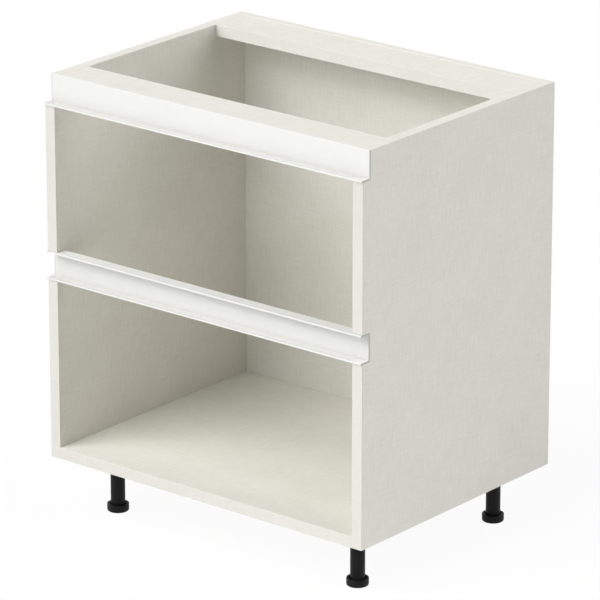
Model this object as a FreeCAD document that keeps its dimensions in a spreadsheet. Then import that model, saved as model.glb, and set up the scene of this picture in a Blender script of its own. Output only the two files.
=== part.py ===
# Open kitchen base carcass for two drawers, with grip profiles and levelling legs
#
# Frame: X runs along the width, Y from front to rear, Z up. The origin lies on the floor, under the
# middle of the carcass and its lips taken together. Heights inside the carcass are counted from its
# underside and depths from the front plane of its boards, as a joiner would mark them.
import FreeCAD, Part
import operator
import os
import Sketcher
from types import SimpleNamespace

# Driving sizes in millimetres
SIZES = {
    # Carcass and its boards
    "carcass_width": 720,
    "carcass_depth": 540,
    "carcass_height": 720,
    "carcass_lift": 112,
    "board": 22,
    "back_board": 16,
    "rail_board": 22,
    "edge_band": 1,
    "rear_band": 2,
    "front_rail_depth": 70,
    "rear_rail_depth": 82,
    # Grip profiles, extruded, seated in notches of the side panels
    "profile_height": 53,
    "profile_depth": 21,
    "profile_overhang": 3,
    "profile_wall": 3,
    "profile_corner": 1.5,
    "middle_profile_base": 341,
    "notch_gap": 0.25,
    # Fixing channel along the back of each profile
    "channel_centre": 18,
    "channel_half": 5.5,
    "channel_mouth_half": 3,
    "channel_depth": 5,
    "channel_wall": 1.5,
    "channel_setback": 1,
    # Brackets that hold the channel to the side panels
    "bracket_height": 24,
    "bracket_wall": 4,
    "bracket_flange": 3,
    "bracket_gusset": 3,
    "bracket_reach": 26,
    "bracket_length": 40,
    "bracket_gap": 0.2,
    "bracket_screw_rise": 7.5,
    "bracket_screw_setback": 8,
    # Pan head screws
    "screw_radius": 2,
    "screw_length": 16,
    "screw_head_radius": 3.9,
    "screw_head_height": 2.4,
    "screw_clearance": 0.1,
    # Dowels
    "dowel_radius": 4,
    "dowel_length": 34,
    "dowel_in_side": 12,
    "dowel_chamfer": 1,
    "dowel_clearance": 0.05,
    "dowel_step": 32,
    # Cam locks and their bolts
    "cam_radius": 7.5,
    "cam_tail": 3,
    "cam_inset": 24,
    "cam_clearance": 0.1,
    "cam_slot_half": 0.8,
    "cam_slot_reach": 4.5,
    "cam_slot_depth": 2.5,
    "bolt_thread_radius": 2.5,
    "bolt_thread_length": 11,
    "bolt_shaft_radius": 3,
    "bolt_neck_radius": 1.7,
    "bolt_neck_length": 3,
    "bolt_head_radius": 3.3,
    "bolt_head_length": 3.5,
    "bolt_room": 0.7,
    "hole_end_gap": 0.5,
    # Places of the joints
    "bottom_cam_front": 40,
    "bottom_cam_rear": 120,
    "rail_cam_setback": 20,
    "back_cam_low": 120,
    "back_cam_high": 500,
    # Leg places and leg sockets
    "leg_side_inset": 80,
    "leg_front_inset": 90,
    "leg_rear_inset": 57,
    "plate_side": 60,
    "plate_thickness": 4,
    "plate_corner": 8,
    "plate_screw_offset": 22,
    "socket_depth": 28,
    "socket_wall": 2.8,
    "socket_rib": 2.5,
    "socket_rib_drop": 18,
    "socket_rib_setback": 4,
    "bead_drop": 14,
    "bead_width": 2,
    "bead_height": 0.7,
    "bead_clearance": 0.4,
    # Leg tubes
    "tube_radius": 13.3,
    "tube_wall": 3,
    "tube_chamfer": 1.2,
    "tube_sink": 3,
    "tube_top_gap": 0.2,
    "turn_clearance": 0.05,
    # Feet with their spindles
    "foot_radius": 20.1,
    "foot_height": 14,
    "foot_wall": 2.6,
    "foot_floor": 4,
    "foot_round": 3,
    "foot_rim_round": 0.8,
    "foot_hollow_radius": 12.5,
    "foot_hollow": 1.5,
    "spindle_radius": 8,
    "spindle_height": 56,
    "spindle_chamfer": 1,
    "spindle_room": 15,
}

OPERATIONS = {"+": operator.add, "-": operator.sub, "*": operator.mul, "/": operator.truediv}


class Size:
    """A length that carries both its number and the sheet formula that gives it."""

    def __init__(self, number, formula):
        self.number = number
        self.formula = formula

    def __add__(self, other):
        return combine(self, "+", other)

    def __sub__(self, other):
        return combine(self, "-", other)

    def __mul__(self, other):
        return combine(self, "*", other)

    def __truediv__(self, other):
        return combine(self, "/", other)

    def __neg__(self):
        return combine(0, "-", self)


def as_size(value):
    """Lets a plain number stand where a size is asked for."""
    return value if isinstance(value, Size) else Size(value, str(float(value)))


def combine(left, sign, right):
    """The size that two sizes give, with its formula."""
    left = as_size(left)
    right = as_size(right)
    number = OPERATIONS[sign](left.number, right.number)
    return Size(number, f"({left.formula} {sign} {right.formula})")


def is_plain_zero(value):
    return not isinstance(value, Size) and value == 0


# The document and its sheet
doc = FreeCAD.newDocument("base_carcass")
sheet = doc.addObject("Spreadsheet::Sheet", "dims")
for row, (name, number) in enumerate(SIZES.items(), start=1):
    sheet.set(f"A{row}", name)
    sheet.set(f"B{row}", str(number))
    sheet.setAlias(f"B{row}", name)
doc.recompute()
d = SimpleNamespace(**{name: Size(number, f"dims.{name}") for name, number in SIZES.items()})

nodes = []

# Lengths that several pieces share
half_width = d.carcass_width / 2
half_depth = d.carcass_depth / 2
inner_width = d.carcass_width - d.board * 2
inner_half = inner_width / 2
front = d.profile_overhang / 2 - half_depth
rear = front + d.carcass_depth
underside = d.carcass_lift
back_face = d.carcass_depth - d.back_board
top_profile_base = d.carcass_height - d.profile_height
profile_bases = {"top": top_profile_base, "middle": d.middle_profile_base}
screw_hole = d.screw_radius + d.screw_clearance
bolt_bore = d.bolt_head_radius + d.bolt_room
socket_radius = d.tube_radius + d.turn_clearance
tube_bottom = d.foot_height - d.tube_sink
tube_top = d.carcass_lift - d.plate_thickness - d.tube_top_gap

TURN_X = FreeCAD.Vector(1, 0, 0)
TURN_Y = FreeCAD.Vector(0, 1, 0)
TURN_Z = FreeCAD.Vector(0, 0, 1)
UNTURNED = FreeCAD.Rotation()
HALF_TURN_Z = FreeCAD.Rotation(TURN_Z, 180)
HALF_TURN_Y = FreeCAD.Rotation(TURN_Y, 180)


def bind(thing, path, size):
    """Ties one property to the sheet."""
    thing.setExpression(path, as_size(size).formula)


def place(thing, x, y, z, turn=UNTURNED):
    """Turns a piece and ties its place to the sheet."""
    thing.Placement = FreeCAD.Placement(FreeCAD.Vector(), turn)
    for axis, size in zip("xyz", (x, y, z)):
        bind(thing, f"Placement.Base.{axis}", size)


def new_body(label, x, y, z):
    """An empty body; a labelled one becomes a node of the part."""
    body = doc.addObject("PartDesign::Body", label)
    body.Label = label
    place(body, x, y, z)
    return body


def keep(piece):
    """Notes a finished sub-part for writing."""
    nodes.append(piece)
    return piece


def sketch_on(body, plane, offset=0):
    """An empty sketch on one of the body's own planes, moved along the plane's normal."""
    sketch = body.newObject("Sketcher::SketchObject", "sketch")
    support = next(item for item in body.Origin.OriginFeatures if item.Role == plane)
    sketch.AttachmentSupport = (support, [""])
    sketch.MapMode = "FlatFace"
    if not is_plain_zero(offset):
        bind(sketch, "AttachmentOffset.Base.z", offset)
    return sketch


def pin_point(sketch, geometry, point, u, v):
    """Fixes one sketch point at sizes from the sheet; a plain zero puts it on the axis."""
    for kind, axis, value in (("DistanceX", -2, u), ("DistanceY", -1, v)):
        if is_plain_zero(value):
            sketch.addConstraint(Sketcher.Constraint("PointOnObject", geometry, point, axis))
            continue
        size = as_size(value)
        rule = Sketcher.Constraint(kind, -1, 1, geometry, point, size.number)
        index = sketch.addConstraint(rule)
        sketch.setExpression(f"Constraints[{index}]", size.formula)


def draw_outline(sketch, corners):
    """A closed outline of straight edges through the given corners."""
    first = sketch.GeometryCount
    count = len(corners)
    points = [FreeCAD.Vector(as_size(u).number, as_size(v).number, 0) for u, v in corners]
    for k in range(count):
        sketch.addGeometry(Part.LineSegment(points[k], points[(k + 1) % count]), False)
    for k, (u, v) in enumerate(corners):
        following = first + (k + 1) % count
        sketch.addConstraint(Sketcher.Constraint("Coincident", first + k, 2, following, 1))
        pin_point(sketch, first + k, 1, u, v)


def draw_circles(sketch, centres, radius):
    """Circles of one radius at the given centres."""
    for u, v in centres:
        centre = FreeCAD.Vector(as_size(u).number, as_size(v).number, 0)
        circle = sketch.addGeometry(Part.Circle(centre, TURN_Z, radius.number), False)
        pin_point(sketch, circle, 3, u, v)
        index = sketch.addConstraint(Sketcher.Constraint("Radius", circle, radius.number))
        sketch.setExpression(f"Constraints[{index}]", radius.formula)


def rectangle(u_low, v_low, u_high, v_high):
    return [(u_low, v_low), (u_high, v_low), (u_high, v_high), (u_low, v_high)]


def pad(body, sketch, length, backwards=False, both_ways=False):
    """Grows a sketch into a solid along its normal, against it, or half each way."""
    feature = body.newObject("PartDesign::Pad", "pad")
    feature.Profile = sketch
    feature.Reversed = backwards
    feature.SideType = "Symmetric" if both_ways else "One side"
    bind(feature, "Length", length)
    return feature


def pocket(body, sketch, depth, along_normal=False):
    """Cuts a sketch into the solid, against the sketch's normal unless told otherwise."""
    doc.recompute()
    before = body.Shape.Volume
    feature = body.newObject("PartDesign::Pocket", "pocket")
    feature.Profile = sketch
    feature.Reversed = along_normal
    bind(feature, "Length", depth)
    doc.recompute()
    if body.Shape.Volume >= before:
        raise RuntimeError(f"a pocket of {body.Label} cuts nothing")


def drill(body, plane, offset, centres, radius, depth, along_normal=False):
    """Round holes of one radius and depth from one face."""
    sketch = sketch_on(body, plane, offset)
    draw_circles(sketch, centres, radius)
    pocket(body, sketch, depth, along_normal)


def revolve(body, corners, plane="XZ_Plane", axis="V_Axis"):
    """A turned solid from half of its section."""
    sketch = sketch_on(body, plane)
    draw_outline(sketch, corners)
    feature = body.newObject("PartDesign::Revolution", "revolution")
    feature.Profile = sketch
    feature.ReferenceAxis = (sketch, [axis])
    feature.Angle = 360


def round_edges(body, chosen, radius):
    """Rounds the edges of a body that the test picks by their middle point."""
    doc.recompute()
    base = body.Tip
    edges = body.Tip.Shape.Edges
    names = [f"Edge{k}" for k, edge in enumerate(edges, start=1) if chosen(edge)]
    feature = body.newObject("PartDesign::Fillet", "fillet")
    feature.Base = (base, names)
    bind(feature, "Radius", radius)


def near(number, size):
    """True where a measured number is a given size."""
    return abs(number - as_size(size).number) < 1e-4


def edge_at(**sizes):
    """A test for straight or round edges that lie wholly at the given coordinates."""
    def chosen(edge):
        box = edge.BoundBox
        low = {"x": box.XMin, "y": box.YMin, "z": box.ZMin}
        high = {"x": box.XMax, "y": box.YMax, "z": box.ZMax}
        return all(near(low[a], s) and near(high[a], s) for a, s in sizes.items())
    return chosen


def group(label, master, spots):
    """A node of separate copies of one piece; a spot is a place and a turn."""
    copies = []
    for x, y, z, turn in spots:
        copy = doc.addObject("App::Link", f"{label}_copy")
        copy.LinkedObject = master
        place(copy, x, y, z, turn)
        copies.append(copy)
    compound = doc.addObject("Part::Compound", label)
    compound.Label = label
    compound.Links = copies
    return keep(compound)


# Where the boards join the side panels: depth from the front plane and height from the underside
rail_height = d.carcass_height - d.rail_board / 2
bottom_height = d.board / 2
back_depth = d.carcass_depth - d.back_board / 2
front_rail_start = d.profile_depth
rear_rail_start = back_face - d.rear_rail_depth
bottom_rear_cam = d.carcass_depth - d.bottom_cam_rear
cams = {
    "bottom_panel": [(d.bottom_cam_front, bottom_height), (bottom_rear_cam, bottom_height)],
    "front_rail": [(front_rail_start + d.rail_cam_setback, rail_height)],
    "rear_rail": [(rear_rail_start + d.rail_cam_setback, rail_height)],
    "back_panel": [
        (back_depth, d.board + d.back_cam_low),
        (back_depth, d.board + d.back_cam_high),
    ],
}
dowels = {
    "bottom_panel": [
        (d.bottom_cam_front + d.dowel_step, bottom_height),
        (bottom_rear_cam - d.dowel_step, bottom_height),
    ],
    "front_rail": [(cams["front_rail"][0][0] + d.dowel_step, rail_height)],
    "rear_rail": [(cams["rear_rail"][0][0] + d.dowel_step, rail_height)],
    "back_panel": [(y, z + d.dowel_step) for y, z in cams["back_panel"]],
}
all_cams = [spot for spots in cams.values() for spot in spots]
all_dowels = [spot for spots in dowels.values() for spot in spots]

# Bracket screws enter the side panels behind each profile
bracket_screw_depth = d.profile_depth + d.bracket_length - d.bracket_screw_setback
bracket_screws = [
    (bracket_screw_depth, base + d.channel_centre + rise)
    for base in profile_bases.values()
    for rise in (d.bracket_screw_rise, -d.bracket_screw_rise)
]

# Leg centres, and the screws of one leg socket about its centre
leg_x = half_width - d.leg_side_inset
leg_front_y = front + d.leg_front_inset
leg_rear_y = rear - d.leg_rear_inset
legs = {
    "front_left": (-leg_x, leg_front_y),
    "front_right": (leg_x, leg_front_y),
    "rear_left": (-leg_x, leg_rear_y),
    "rear_right": (leg_x, leg_rear_y),
}
plate_screws = [
    (u, v)
    for u in (-d.plate_screw_offset, d.plate_screw_offset)
    for v in (-d.plate_screw_offset, d.plate_screw_offset)
]


def side_panel(label, is_left):
    """A full-height side with a front notch for each grip profile and blind holes inside."""
    body = new_body(label, -half_width if is_left else inner_half, front, underside)
    outline = sketch_on(body, "YZ_Plane")
    middle_low = d.middle_profile_base - d.notch_gap
    middle_high = d.middle_profile_base + d.profile_height + d.notch_gap
    top_low = top_profile_base - d.notch_gap
    draw_outline(outline, [
        (d.edge_band, 0),
        (d.carcass_depth, 0),
        (d.carcass_depth, d.carcass_height),
        (d.profile_depth, d.carcass_height),
        (d.profile_depth, top_low),
        (d.edge_band, top_low),
        (d.edge_band, middle_high),
        (d.profile_depth, middle_high),
        (d.profile_depth, middle_low),
        (d.edge_band, middle_low),
    ])
    pad(body, outline, d.board)
    inner_face = d.board if is_left else 0
    thread_hole = d.bolt_thread_length + d.hole_end_gap
    thread_radius = d.bolt_thread_radius + d.screw_clearance
    dowel_hole = d.dowel_in_side + d.hole_end_gap
    dowel_radius = d.dowel_radius + d.dowel_clearance
    screw_depth = d.screw_length - d.bracket_wall + d.hole_end_gap
    drill(body, "YZ_Plane", inner_face, all_cams, thread_radius, thread_hole, not is_left)
    drill(body, "YZ_Plane", inner_face, all_dowels, dowel_radius, dowel_hole, not is_left)
    drill(body, "YZ_Plane", inner_face, bracket_screws, screw_hole, screw_depth, not is_left)
    return keep(body)


def cross_board(label, y_low, y_high, z_low, z_high):
    """A board between the sides, bored at both ends for its bolts and dowels."""
    body = new_body(label, -inner_half, front + y_low, underside + z_low)
    outline = sketch_on(body, "XY_Plane")
    draw_outline(outline, rectangle(0, 0, inner_width, y_high - y_low))
    pad(body, outline, z_high - z_low)
    bolt_holes = [(y - y_low, z - z_low) for y, z in cams[label]]
    dowel_holes = [(y - y_low, z - z_low) for y, z in dowels[label]]
    dowel_radius = d.dowel_radius + d.dowel_clearance
    dowel_depth = d.dowel_length - d.dowel_in_side + d.hole_end_gap
    for offset, inwards in ((0, True), (inner_width, False)):
        drill(body, "YZ_Plane", offset, bolt_holes, bolt_bore, d.cam_inset, inwards)
        drill(body, "YZ_Plane", offset, dowel_holes, dowel_radius, dowel_depth, inwards)
    return keep(body)


def cam_bores(body, plane, offset, across, thickness, along_normal):
    """Blind bores for the cam locks near both ends of a board."""
    centres = [(x, v) for v in across for x in (d.cam_inset, inner_width - d.cam_inset)]
    depth = thickness / 2 + d.cam_tail + d.hole_end_gap
    drill(body, plane, offset, centres, d.cam_radius + d.cam_clearance, depth, along_normal)


side_panel("left_side_panel", True)
side_panel("right_side_panel", False)

# The bottom panel also takes the screws of the four leg sockets
bottom = cross_board("bottom_panel", d.edge_band, d.carcass_depth, 0, d.board)
cam_bores(bottom, "XY_Plane", 0, [y - d.edge_band for y, z in cams["bottom_panel"]], d.board, True)
socket_screw_spots = [
    (inner_half + x + u, y - front - d.edge_band + v)
    for x, y in legs.values()
    for u, v in plate_screws
]
socket_screw_depth = d.screw_length - d.plate_thickness + d.hole_end_gap
drill(bottom, "XY_Plane", 0, socket_screw_spots, screw_hole, socket_screw_depth, True)

# The back panel stands on the bottom panel and has its cam bores at the rear
back = cross_board("back_panel", back_face, d.carcass_depth, d.board, d.carcass_height)
back_cam_heights = [z - d.board for y, z in cams["back_panel"]]
cam_bores(back, "XZ_Plane", -d.back_board, back_cam_heights, d.back_board, True)

# The rails lie flat, flush with the top edges of the sides, with their cam bores underneath
front_rail_end = front_rail_start + d.front_rail_depth
rail_low = d.carcass_height - d.rail_board
front_rail = cross_board("front_rail", front_rail_start, front_rail_end - d.edge_band,
                         rail_low, d.carcass_height)
cam_bores(front_rail, "XY_Plane", 0, [d.rail_cam_setback], d.rail_board, True)
rear_rail = cross_board("rear_rail", rear_rail_start + d.edge_band, back_face - d.rear_band,
                        rail_low, d.carcass_height)
cam_bores(rear_rail, "XY_Plane", 0, [d.rail_cam_setback - d.edge_band], d.rail_board, True)


def strip(name, x, y, z, width, depth, height):
    """One straight length of edge band."""
    box = doc.addObject("Part::Box", name)
    bind(box, "Length", width)
    bind(box, "Width", depth)
    bind(box, "Height", height)
    place(box, x, y, z)
    return box


def side_edge_bands(label, x):
    """The two bands on the front edge of a side, above and below the middle notch."""
    low_end = d.middle_profile_base - d.notch_gap
    high_start = d.middle_profile_base + d.profile_height + d.notch_gap
    high_end = top_profile_base - d.notch_gap
    lower = strip(f"{label}_lower", x, front, underside, d.board, d.edge_band, low_end)
    upper = strip(f"{label}_upper", x, front, underside + high_start, d.board, d.edge_band,
                  high_end - high_start)
    bands = doc.addObject("Part::Compound", label)
    bands.Label = label
    bands.Links = [lower, upper]
    keep(bands)


side_edge_bands("left_edge_bands", -half_width)
side_edge_bands("right_edge_bands", inner_half)
rail_base = underside + rail_low
cross_bands = {
    "bottom_edge_band": (front, underside, d.edge_band, d.board),
    "front_rail_edge_band": (front + front_rail_end - d.edge_band, rail_base, d.edge_band, d.rail_board),
    "rear_rail_edge_band": (front + rear_rail_start, rail_base, d.edge_band, d.rail_board),
    "rear_rail_rear_band": (front + back_face - d.rear_band, rail_base, d.rear_band, d.rail_board),
}
for name, (y, z, thickness, height) in cross_bands.items():
    keep(strip(name, -inner_half, y, z, inner_width, thickness, height))


def grip_profile(label, base, has_top_lip):
    """An extruded grip profile: a web with one or two lips that stand out in front of the boards,
    and a fixing channel at its back."""
    body = new_body(label, -half_width, front, underside + base)
    web_front = d.profile_depth - d.profile_wall
    lip_front = -d.profile_overhang
    lip_low = d.profile_height - d.profile_wall
    section = [(lip_front, 0), (d.profile_depth, 0), (d.profile_depth, d.profile_height)]
    if has_top_lip:
        section += [(lip_front, d.profile_height), (lip_front, lip_low), (web_front, lip_low)]
    else:
        section += [(web_front, d.profile_height)]
    section += [(web_front, d.profile_wall), (lip_front, d.profile_wall)]
    sketch = sketch_on(body, "YZ_Plane")
    draw_outline(sketch, section)
    pad(body, sketch, d.carcass_width)

    channel = sketch_on(body, "YZ_Plane", d.board + d.channel_setback)
    hook_root = d.profile_depth
    hook_inside = d.profile_depth + d.channel_depth - d.channel_wall
    hook_end = d.profile_depth + d.channel_depth
    for up in (1, -1):
        inside = d.channel_centre + d.channel_half * up
        outside = inside + d.channel_wall * up
        mouth = d.channel_centre + d.channel_mouth_half * up
        draw_outline(channel, [
            (hook_root, inside),
            (hook_inside, inside),
            (hook_inside, mouth),
            (hook_end, mouth),
            (hook_end, outside),
            (hook_root, outside),
        ])
    pad(body, channel, inner_width - d.channel_setback * 2)

    round_edges(body, edge_at(y=web_front, z=d.profile_wall), d.profile_corner)
    if has_top_lip:
        round_edges(body, edge_at(y=web_front, z=lip_low), d.profile_corner)
    keep(body)


grip_profile("top_handle_profile", top_profile_base, False)
grip_profile("middle_handle_profile", d.middle_profile_base, True)


def bracket(label, base, is_left):
    """A moulded angle on the side panel with a tongue in the profile's channel."""
    inwards = 1 if is_left else -1
    side_face = -inner_half if is_left else inner_half
    body = new_body(label, side_face, front + d.profile_depth, underside + base + d.channel_centre)
    flange_front = d.channel_depth + d.bracket_gap
    flange_back = flange_front + d.bracket_flange
    plate = d.bracket_wall * inwards
    reach = d.bracket_reach * inwards

    angle = sketch_on(body, "XY_Plane")
    draw_outline(angle, [
        (0, flange_front),
        (reach, flange_front),
        (reach, flange_back),
        (plate, flange_back),
        (plate, d.bracket_length),
        (0, d.bracket_length),
    ])
    pad(body, angle, d.bracket_height, both_ways=True)

    gusset = sketch_on(body, "XY_Plane")
    draw_outline(gusset, [
        (plate, flange_back),
        (reach, flange_back),
        (plate, d.bracket_length),
    ])
    pad(body, gusset, d.bracket_gusset, both_ways=True)

    tongue_start = d.channel_setback + d.bracket_gap
    tongue = sketch_on(body, "YZ_Plane", tongue_start * inwards)
    head_back = d.channel_depth - d.channel_wall - d.bracket_gap
    head = d.channel_half - d.bracket_gap
    neck = d.channel_mouth_half - d.bracket_gap
    draw_outline(tongue, [
        (d.bracket_gap, -head),
        (head_back, -head),
        (head_back, -neck),
        (flange_front, -neck),
        (flange_front, neck),
        (head_back, neck),
        (head_back, head),
        (d.bracket_gap, head),
    ])
    pad(body, tongue, d.bracket_reach - tongue_start, backwards=not is_left)

    screw_line = d.bracket_length - d.bracket_screw_setback
    screw_spots = [(screw_line, d.bracket_screw_rise), (screw_line, -d.bracket_screw_rise)]
    drill(body, "YZ_Plane", 0, screw_spots, screw_hole, d.bracket_wall, is_left)
    keep(body)


for profile, base in profile_bases.items():
    bracket(f"{profile}_left_bracket", base, True)
    bracket(f"{profile}_right_bracket", base, False)


def turned_master(name, corners, axis="H_Axis"):
    """A turned piece at the origin that groups of copies are made from."""
    body = new_body(name, 0, 0, 0)
    revolve(body, corners, "XZ_Plane", axis)
    return body


# Pan head screw along +X: the underside of its head lies at the origin
screw = turned_master("screw_master", [
    (-d.screw_head_height, 0),
    (-d.screw_head_height, d.screw_head_radius - d.screw_head_height / 2),
    (-d.screw_head_height / 2, d.screw_head_radius),
    (0, d.screw_head_radius),
    (0, d.screw_radius),
    (d.screw_length - d.screw_radius, d.screw_radius),
    (d.screw_length, 0),
])

# Dowel along +X: its outer end lies at the origin
dowel_tip = d.dowel_radius - d.dowel_chamfer
dowel = turned_master("dowel_master", [
    (0, 0),
    (0, dowel_tip),
    (d.dowel_chamfer, d.dowel_radius),
    (d.dowel_length - d.dowel_chamfer, d.dowel_radius),
    (d.dowel_length, dowel_tip),
    (d.dowel_length, 0),
])

# Cam bolt along +X: its thread ends at the origin, on the face of the side panel
bolt_head_start = d.cam_inset - d.bolt_head_length / 2
bolt_neck_start = bolt_head_start - d.bolt_neck_length
bolt_end = d.cam_inset + d.bolt_head_length / 2
bolt = turned_master("bolt_master", [
    (-d.bolt_thread_length, 0),
    (-d.bolt_thread_length, d.bolt_thread_radius),
    (0, d.bolt_thread_radius),
    (0, d.bolt_shaft_radius),
    (bolt_neck_start, d.bolt_shaft_radius),
    (bolt_neck_start, d.bolt_neck_radius),
    (bolt_head_start, d.bolt_neck_radius),
    (bolt_head_start, d.bolt_head_radius),
    (bolt_end, d.bolt_head_radius),
    (bolt_end, 0),
])


def cam_master(name, thickness):
    """A cam lock for one board thickness: driver face at the origin, bolt mouth towards -X."""
    body = new_body(name, 0, 0, 0)
    disc = sketch_on(body, "XY_Plane")
    draw_circles(disc, [(0, 0)], d.cam_radius)
    pad(body, disc, thickness / 2 + d.cam_tail)
    bore_end = d.bolt_head_length / 2 + d.bolt_room
    drill(body, "YZ_Plane", bore_end, [(0, thickness / 2)], bolt_bore, d.cam_radius + bore_end)
    slot = sketch_on(body, "XY_Plane")
    far = d.cam_slot_reach
    thin = d.cam_slot_half
    draw_outline(slot, [
        (thin, thin), (far, thin), (far, -thin), (thin, -thin),
        (thin, -far), (-thin, -far), (-thin, -thin),
        (-far, -thin), (-far, thin), (-thin, thin), (-thin, far), (thin, far),
    ])
    pocket(body, slot, d.cam_slot_depth, True)
    return body


bottom_cam = cam_master("bottom_cam_master", d.board)
rail_cam = cam_master("rail_cam_master", d.rail_board)
back_cam = cam_master("back_cam_master", d.back_board)

cam_x = inner_half - d.cam_inset
lying_cam_nodes = {
    "bottom_cam_locks": (bottom_cam, d.board, ["bottom_panel"]),
    "rail_cam_locks": (rail_cam, d.rail_board, ["front_rail", "rear_rail"]),
}
for label, (master, thickness, boards) in lying_cam_nodes.items():
    group(label, master, [
        (x, front + y, underside + z - thickness / 2, turn)
        for name in boards
        for y, z in cams[name]
        for x, turn in ((-cam_x, UNTURNED), (cam_x, HALF_TURN_Z))
    ])
FACING_FRONT = FreeCAD.Rotation(TURN_X, 90)
group("back_cam_locks", back_cam, [
    (x, rear, underside + z, turn)
    for y, z in cams["back_panel"]
    for x, turn in ((-cam_x, FACING_FRONT), (cam_x, HALF_TURN_Y.multiply(FACING_FRONT)))
])

dowel_x = inner_half + d.dowel_in_side
for side, sign, turn in (("left", -1, UNTURNED), ("right", 1, HALF_TURN_Z)):
    group(f"{side}_cam_bolts", bolt, [
        (inner_half * sign, front + y, underside + z, turn) for y, z in all_cams
    ])
    group(f"{side}_dowels", dowel, [
        (dowel_x * sign, front + y, underside + z, turn) for y, z in all_dowels
    ])

bracket_face = inner_half - d.bracket_wall
group("bracket_screws", screw, [
    (bracket_face * sign, front + y, underside + z, turn)
    for sign, turn in ((-1, HALF_TURN_Z), (1, UNTURNED))
    for y, z in bracket_screws
])
POINTING_UP = FreeCAD.Rotation(TURN_Y, -90)
group("socket_screws", screw, [
    (x + u, y + v, underside - d.plate_thickness, POINTING_UP)
    for x, y in legs.values()
    for u, v in plate_screws
])


def leg_socket(label, x, y):
    """A screw plate under the bottom panel with a ribbed round socket and a snap bead."""
    body = new_body(label, x, y, underside)
    plate_half = d.plate_side / 2
    square = sketch_on(body, "XY_Plane")
    draw_outline(square, rectangle(-plate_half, -plate_half, plate_half, plate_half))
    pad(body, square, d.plate_thickness, backwards=True)
    doc.recompute()
    round_edges(body, lambda edge: near(edge.BoundBox.ZLength, d.plate_thickness), d.plate_corner)

    cup_radius = socket_radius + d.socket_wall
    cup = sketch_on(body, "XY_Plane", -d.plate_thickness)
    draw_circles(cup, [(0, 0)], cup_radius)
    draw_circles(cup, [(0, 0)], socket_radius)
    pad(body, cup, d.socket_depth, backwards=True)

    bead_middle = -d.plate_thickness - d.bead_drop
    bead_inner = socket_radius - d.bead_height
    bead_outer = socket_radius + d.socket_wall / 2
    revolve(body, [
        (bead_inner, bead_middle - d.bead_width / 4),
        (bead_outer, bead_middle - d.bead_width / 2),
        (bead_outer, bead_middle + d.bead_width / 2),
        (bead_inner, bead_middle + d.bead_width / 4),
    ])

    rib = sketch_on(body, "XZ_Plane")
    rib_root = socket_radius + d.socket_wall / 2
    rib_end = plate_half - d.socket_rib_setback
    draw_outline(rib, [
        (rib_root, -d.plate_thickness),
        (rib_end, -d.plate_thickness),
        (cup_radius, -d.plate_thickness - d.socket_rib_drop),
        (rib_root, -d.plate_thickness - d.socket_rib_drop),
    ])
    first_rib = pad(body, rib, d.socket_rib, both_ways=True)
    pattern = body.newObject("PartDesign::PolarPattern", "ribs")
    pattern.Originals = [first_rib]
    pattern.Axis = (next(item for item in body.Origin.OriginFeatures if item.Role == "Z_Axis"), [""])
    pattern.Angle = 360
    pattern.Occurrences = 4
    body.Tip = pattern
    drill(body, "XY_Plane", 0, plate_screws, screw_hole, d.plate_thickness)
    keep(body)


def leg_tube(label, x, y):
    """A round leg that turns in its socket, bored for the spindle of its foot."""
    body = new_body(label, x, y, 0)
    bore = d.spindle_radius + d.turn_clearance
    bore_top = d.spindle_height + d.spindle_room
    hollow = d.tube_radius - d.tube_wall
    groove_floor = d.tube_radius - d.bead_height - d.bead_clearance
    groove_middle = underside - d.plate_thickness - d.bead_drop
    groove_half = d.bead_width / 2 + d.bead_clearance
    shoulder = d.tube_radius - d.tube_chamfer
    revolve(body, [
        (bore, tube_bottom),
        (shoulder, tube_bottom),
        (d.tube_radius, tube_bottom + d.tube_chamfer),
        (d.tube_radius, groove_middle - groove_half),
        (groove_floor, groove_middle - groove_half),
        (groove_floor, groove_middle + groove_half),
        (d.tube_radius, groove_middle + groove_half),
        (d.tube_radius, tube_top - d.tube_chamfer),
        (shoulder, tube_top),
        (hollow, tube_top),
        (hollow, bore_top),
        (bore, bore_top),
    ])
    keep(body)


def leg_foot(label, x, y):
    """A foot cup with a hollow underside and the spindle that runs in the tube."""
    body = new_body(label, x, y, 0)
    cup_inside = d.foot_radius - d.foot_wall
    spindle_tip = d.spindle_radius - d.spindle_chamfer
    revolve(body, [
        (0, d.foot_hollow),
        (d.foot_hollow_radius, d.foot_hollow),
        (d.foot_hollow_radius + d.foot_hollow, 0),
        (d.foot_radius, 0),
        (d.foot_radius, d.foot_height),
        (cup_inside, d.foot_height),
        (cup_inside, d.foot_floor),
        (d.spindle_radius, d.foot_floor),
        (d.spindle_radius, d.spindle_height - d.spindle_chamfer),
        (spindle_tip, d.spindle_height),
        (0, d.spindle_height),
    ])
    outer = d.foot_radius * 2

    def bottom_edge(edge):
        return edge_at(z=0)(edge) and near(edge.BoundBox.XLength, outer)

    def rim_edges(edge):
        return edge_at(z=d.foot_height)(edge) and edge.BoundBox.XLength > d.spindle_radius.number * 2

    round_edges(body, bottom_edge, d.foot_round)
    round_edges(body, rim_edges, d.foot_rim_round)
    keep(body)


for corner, (x, y) in legs.items():
    leg_socket(f"{corner}_leg_socket", x, y)
    leg_tube(f"{corner}_leg_tube", x, y)
    leg_foot(f"{corner}_foot", x, y)

# Everything has to be sound before it is written
doc.recompute()
for item in doc.Objects:
    if "Invalid" in item.State or "Error" in item.State:
        raise RuntimeError(f"{item.Label} failed: {item.State}")
for node in nodes:
    if node.Shape.isNull() or not node.Shape.isValid():
        raise RuntimeError(f"{node.Label} has no sound shape")

os.makedirs("parts", exist_ok=True)
for node in nodes:
    node.Shape.exportStep(f"parts/{node.Label}.step")
    print(node.Label, len(node.Shape.Solids), "solid(s)", round(node.Shape.Volume / 1000, 1), "cm3")
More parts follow.
